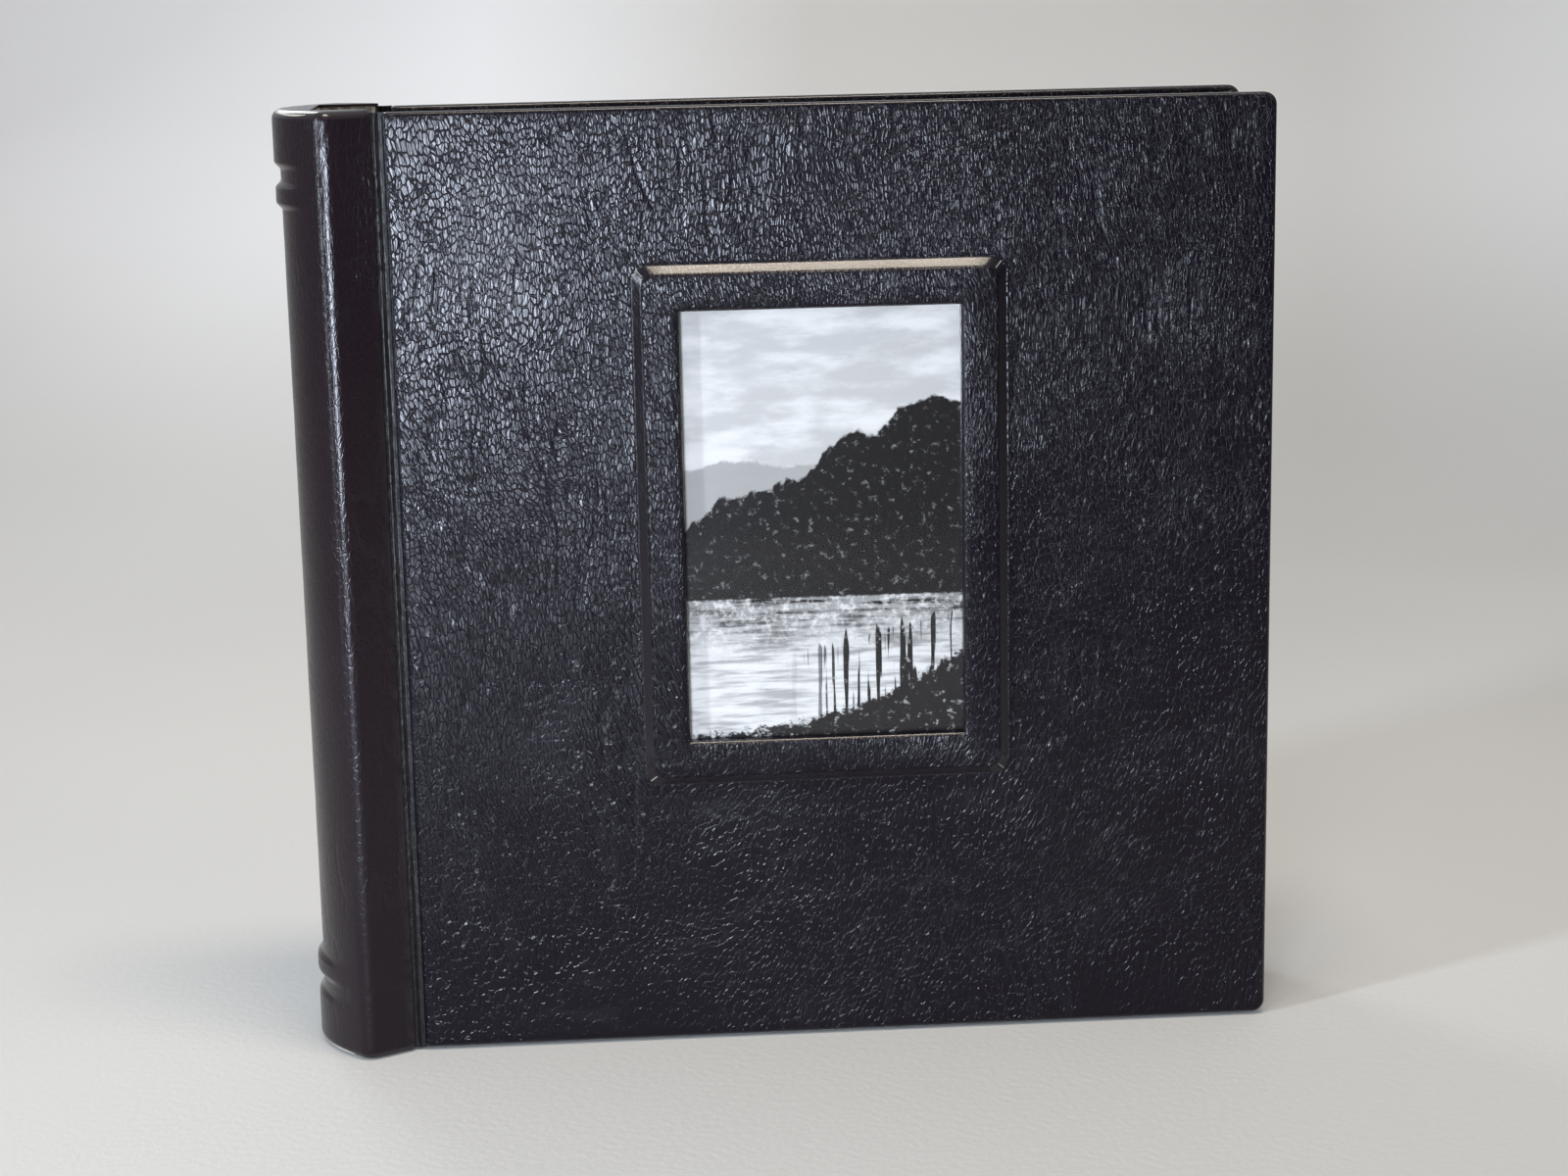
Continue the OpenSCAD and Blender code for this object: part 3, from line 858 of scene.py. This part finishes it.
def joint_section():
    """Section of the leather joint: a thin strip with a crease along its middle."""
    points = []
    for i in range(JOINT_COLUMNS + 1):
        x = -GROOVE - JOINT_LAP + i * JOINT_W / JOINT_COLUMNS
        crease = 0.55 * math.exp(-((x - HINGE_X) / 0.42) ** 2)
        dip = 0.5 * (1 - smooth(abs(x - HINGE_X) / (GROOVE * 0.7)))
        points.append((x, 1.0 + dip - crease))
    return points + [(x, y + JOINT_T) for x, y in reversed(points)]


def make_joint(name, rear):
    """The joint's section at many heights, a little uneven; the rear one is mirrored."""
    section = joint_section()
    rings = []
    for i in range(JOINT_RINGS + 1):
        z = COVER_Z0 + (COVER_Z1 - COVER_Z0) * i / JOINT_RINGS
        ring = []
        for x, y in section:
            y += 0.10 * waves(z * 3.1, x * 9)
            ring.append(seen(x + 0.06 * waves(z * 4.0, 1.0, 0.9), ALBUM_T - y if rear else y, z))
        rings.append(ring)
    return tidy_mesh(loft(name, rings), 50)


def make_guard(name, low, high):
    """A thin strip of cloth between two corners, with enough columns to bend."""
    strip = block(name, low, high)
    with Editing(strip) as edit:
        for i in range(1, GUARD_COLUMNS):
            edit.cut(seen(low[0] + (high[0] - low[0]) * i / GUARD_COLUMNS, 0, 0), (1, 0, 0))
    return tidy_mesh(strip, 50)


# Stage

def make_floor(material):
    """The floor and the curve behind it, which rises in a quarter of an ellipse."""
    end = FLOOR_BACK + CURVE_DEEP
    deselect()
    bpy.ops.mesh.primitive_plane_add(size=1, location=(0, (FLOOR_FRONT + end) / 2, 0))
    floor = bpy.context.active_object
    floor.scale = (FLOOR_W, end - FLOOR_FRONT, 1.0)
    bpy.ops.object.transform_apply(location=True, rotation=True, scale=True)
    floor.name = "floor"
    with Editing(floor) as edit:
        for i in range(CURVE_CUTS):
            edit.cut((0, FLOOR_BACK + CURVE_DEEP * i / CURVE_CUTS, 0), (0, 1, 0))
    for v in floor.data.vertices:
        if v.co.y > FLOOR_BACK:
            turn = (v.co.y - FLOOR_BACK) / CURVE_DEEP * math.pi / 2
            v.co.y = FLOOR_BACK + CURVE_DEEP * math.sin(turn)
            v.co.z = CURVE_HIGH * (1 - math.cos(turn))
    return dress(tidy_mesh(floor, 60), material)


def make_lamp(name, place, target, size, power, colour, spread):
    """A rectangular lamp that points at a target."""
    data = bpy.data.lights.new(name, "AREA")
    data.shape, data.size, data.size_y = "RECTANGLE", size[0], size[1]
    data.energy, data.color = power, colour
    data.spread = math.radians(spread)
    obj = bpy.data.objects.new(name, data)
    bpy.context.scene.collection.objects.link(obj)
    obj.location = place
    obj.rotation_euler = (Vector(target) - Vector(place)).to_track_quat("-Z", "Y").to_euler()


def make_world():
    """A room's soft light, stronger from above and from behind the album. The camera sees it
    as one pale grey."""
    world = bpy.data.worlds.new("soft_room")
    room = Net(owner=world, shader="Background")
    _, ahead, up = room.xyz(room.node("ShaderNodeTexCoord", out="Generated"))
    light = 0.13 + up.above(0.05, 0.8) * 0.33 + ahead.above(-0.2, 1.0) * 0.30
    direct = room.node("ShaderNodeLightPath", out="Is Camera Ray")
    room.finish(Color=(0.93, 0.95, 1.0), Strength=light * (1.0 - direct) + 0.50 * direct)
    return world


def make_camera():
    """The camera, where the album's corners look as in the photograph."""
    camera = bpy.data.cameras.new("camera")
    camera.sensor_width, camera.lens = 36.0, CAMERA_LENS
    camera.clip_start, camera.clip_end = 0.05, 20.0
    eye = bpy.data.objects.new("camera", camera)
    bpy.context.scene.collection.objects.link(eye)
    right = Vector(CAMERA_RIGHT).normalized()
    forward = Vector(CAMERA_FORWARD)
    forward = (forward - right * forward.dot(right)).normalized()
    turn = Matrix((right, right.cross(forward), -forward)).transposed()
    eye.matrix_world = Matrix.Translation(seen(*CAMERA_PLACE)) @ turn.to_4x4()
    return eye


# Settings and operators

class AlbumSettings(bpy.types.PropertyGroup):
    cover_colour: FloatVectorProperty(
        name="Cover leather", description="Colour of the grain's tops on the covers",
        subtype="COLOR", size=3, min=0, max=1, default=(0.0024, 0.0012, 0.0036))
    # The creases' colour is paler than the tops: painted sheen
    cover_crease_sheen: FloatVectorProperty(
        name="Cover creases", description="Colour in the grain's creases on the covers",
        subtype="COLOR", size=3, min=0, max=1, default=(0.0095, 0.0085, 0.0120))
    spine_colour: FloatVectorProperty(
        name="Spine leather", description="Colour of the grain's tops on the spine",
        subtype="COLOR", size=3, min=0, max=1, default=(0.0072, 0.0038, 0.0058))
    endpaper_colour: FloatVectorProperty(
        name="End paper", description="Main colour of the end papers",
        subtype="COLOR", size=3, min=0, max=1, default=(0.10, 0.040, 0.017))
    card_colour: FloatVectorProperty(
        name="Leaf card", description="Colour of the leaves",
        subtype="COLOR", size=3, min=0, max=1, default=(0.78, 0.73, 0.62))
    paper_colour: FloatVectorProperty(
        name="Background paper", description="Colour of the floor and backdrop",
        subtype="COLOR", size=3, min=0, max=1, default=(0.545, 0.54, 0.52))
    grain: FloatProperty(
        name="Grain", description="Size of the leather's grain in millimetres",
        default=1.6, min=1.0, max=6.0)


class ALBUM_OT_covers(bpy.types.Operator):
    """Make the two covers in grained leather"""
    bl_idname = "album.covers"
    bl_label = "Covers"

    def execute(self, context):
        s = context.scene.album
        hide = leather("cover_hide", s.cover_colour, s.cover_crease_sheen, s.grain, lean=0.10)
        front = dress(make_front_cover(), hide)
        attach(front, "front_cover")
        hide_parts("front_cover_leather")
        back = dress(make_back_cover(), hide)
        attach(back, "back_cover")
        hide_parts("back_cover_leather")
        return {"FINISHED"}


class ALBUM_OT_spine(bpy.types.Operator):
    """Make the rounded spine with its raised bands"""
    bl_idname = "album.spine"
    bl_label = "Spine"

    def execute(self, context):
        s = context.scene.album
        hide = leather("spine_hide", s.spine_colour, SPINE_CREASE_SHEEN, s.grain * 1.25, depth=0.075,
                       gloss=0.24, wrinkle=0.10, calm=0.46, shine=0.26)
        spine = dress(make_spine(), hide)
        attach(spine, "spine_case")
        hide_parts("spine_leather")
        return {"FINISHED"}


class ALBUM_OT_joints(bpy.types.Operator):
    """Make the leather joints in the grooves"""
    bl_idname = "album.joints"
    bl_label = "Joints"

    def execute(self, context):
        hide = leather("joint_hide", *JOINT_LEATHER, grain=2.2, depth=0.06, gloss=0.34,
                       wrinkle=0.10)
        for side, rear in (("front", False), ("back", True)):
            joint = dress(make_joint(side + "_joint", rear), hide)
            y = ALBUM_T if rear else 0.0
            seen(-GROOVE, y, 0)
            seen(0.0, y, 0)
            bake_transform(joint)
            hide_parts(side + "_joint_leather")
        return {"FINISHED"}


class ALBUM_OT_papers(bpy.types.Operator):
    """Dress the boards, the end papers, the leaves and the block, and add the guards"""
    bl_idname = "album.papers"
    bl_label = "Papers"

    def execute(self, context):
        s = context.scene.album
        board = layered_board("grey_board", *GREY_BOARD)
        lining = layered_board("lining_card", *LINING_CARD)
        dress_node(board, "spine_core", "front_board", "back_board", "window_border_board")
        dress_node(lining, "front_infill_card", "back_infill_card", "print_backing_card",
                   "head_cap_band", "head_band", "tail_band", "tail_cap_band")
        ends = marbled_endpaper("end_paper", s.endpaper_colour, ENDPAPER_VEINS, ENDPAPER_CLOUDS)
        dress_node(ends, "front_pastedown", "back_pastedown", "front_flyleaf", "back_flyleaf")
        card = paper("leaf_card", s.card_colour, [c * 0.86 for c in s.card_colour])
        dress_node(card, "leaf_stubs", *LEAVES)
        dress_node(paper("spacer_card", *SPACER_CARD), "leaf_spacers")
        tissue = paper("tissue", *TISSUE, fibre=1.2, rough=0.7, depth=0.03, alpha=0.72)
        dress_node(tissue, *[n.replace("leaf", "tissue") for n in LEAVES])
        linen = cloth("lining_cloth", *LINEN)
        dress_node(linen, "spine_lining")
        z0, z1 = LEAF_BOX[0].z + 0.2, LEAF_BOX[1].z - 0.2
        fold = LEAF_BOX[0].x + ORIGIN.x
        folds = {j["child"]: j["pos_m"][1] * 1000 + ORIGIN.y for j in frame["joints"]}
        for name in LEAVES:
            number = name[-2:]
            y = folds["turning_leaf_" + number]
            guard = dress(make_guard("leaf_guard_" + number, (-0.5, y - GUARD_T / 2, z0),
                                     (fold + 0.5, y + GUARD_T / 2, z1)), linen)
            seen(0.0, y, 0)
            seen(fold, y, 0)
            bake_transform(guard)
        return {"FINISHED"}


class ALBUM_OT_picture(bpy.types.Operator):
    """Dress the clear sheet and the print behind the window"""
    bl_idname = "album.picture"
    bl_label = "Picture"

    def execute(self, context):
        dress_node(clear_sheet("clear_sheet"), "window_glazing")
        low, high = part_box("cover_print")
        a, b = low / MM + ORIGIN, high / MM + ORIGIN
        sheet = block("print_sheet", (a.x, a.y + PRINT_GAP, a.z), (b.x, b.y, b.z))
        dress(sheet, lake_print("lake_print"))
        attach(sheet, "front_cover")
        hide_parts("cover_print")
        return {"FINISHED"}


class ALBUM_OT_stage(bpy.types.Operator):
    """Make the floor, the backdrop, the lamps and the camera"""
    bl_idname = "album.stage"
    bl_label = "Stage"

    def execute(self, context):
        scene = context.scene
        floor = make_floor(studio_paper("studio_paper", scene.album.paper_colour, PAINTED_WALL_LIGHT))
        for lamp in LAMPS:
            make_lamp(*lamp)
        scene.world = make_world()
        scene.camera = make_camera()
        scene.view_settings.view_transform = "Standard"
        return {"FINISHED"}


class ALBUM_PT_panel(bpy.types.Panel):
    bl_idname = "ALBUM_PT_panel"
    bl_label = "Photo Album"
    bl_space_type = "VIEW_3D"
    bl_region_type = "UI"
    bl_category = "Album"

    def draw(self, context):
        for name in AlbumSettings.__annotations__:
            self.layout.prop(context.scene.album, name)
        for operator in OPERATORS:
            self.layout.operator(operator.bl_idname)


OPERATORS = (ALBUM_OT_covers, ALBUM_OT_spine, ALBUM_OT_joints, ALBUM_OT_papers,
             ALBUM_OT_picture, ALBUM_OT_stage)


def register():
    for cls in (AlbumSettings, *OPERATORS, ALBUM_PT_panel):
        bpy.utils.register_class(cls)
    bpy.types.Scene.album = PointerProperty(type=AlbumSettings)


def unregister():
    del bpy.types.Scene.album
    for cls in reversed((AlbumSettings, *OPERATORS, ALBUM_PT_panel)):
        bpy.utils.unregister_class(cls)


def main():
    register()
    bpy.ops.album.covers()
    bpy.ops.album.spine()
    bpy.ops.album.joints()
    bpy.ops.album.papers()
    bpy.ops.album.picture()
    bpy.ops.album.stage()


if __name__ == "__main__":
    main()
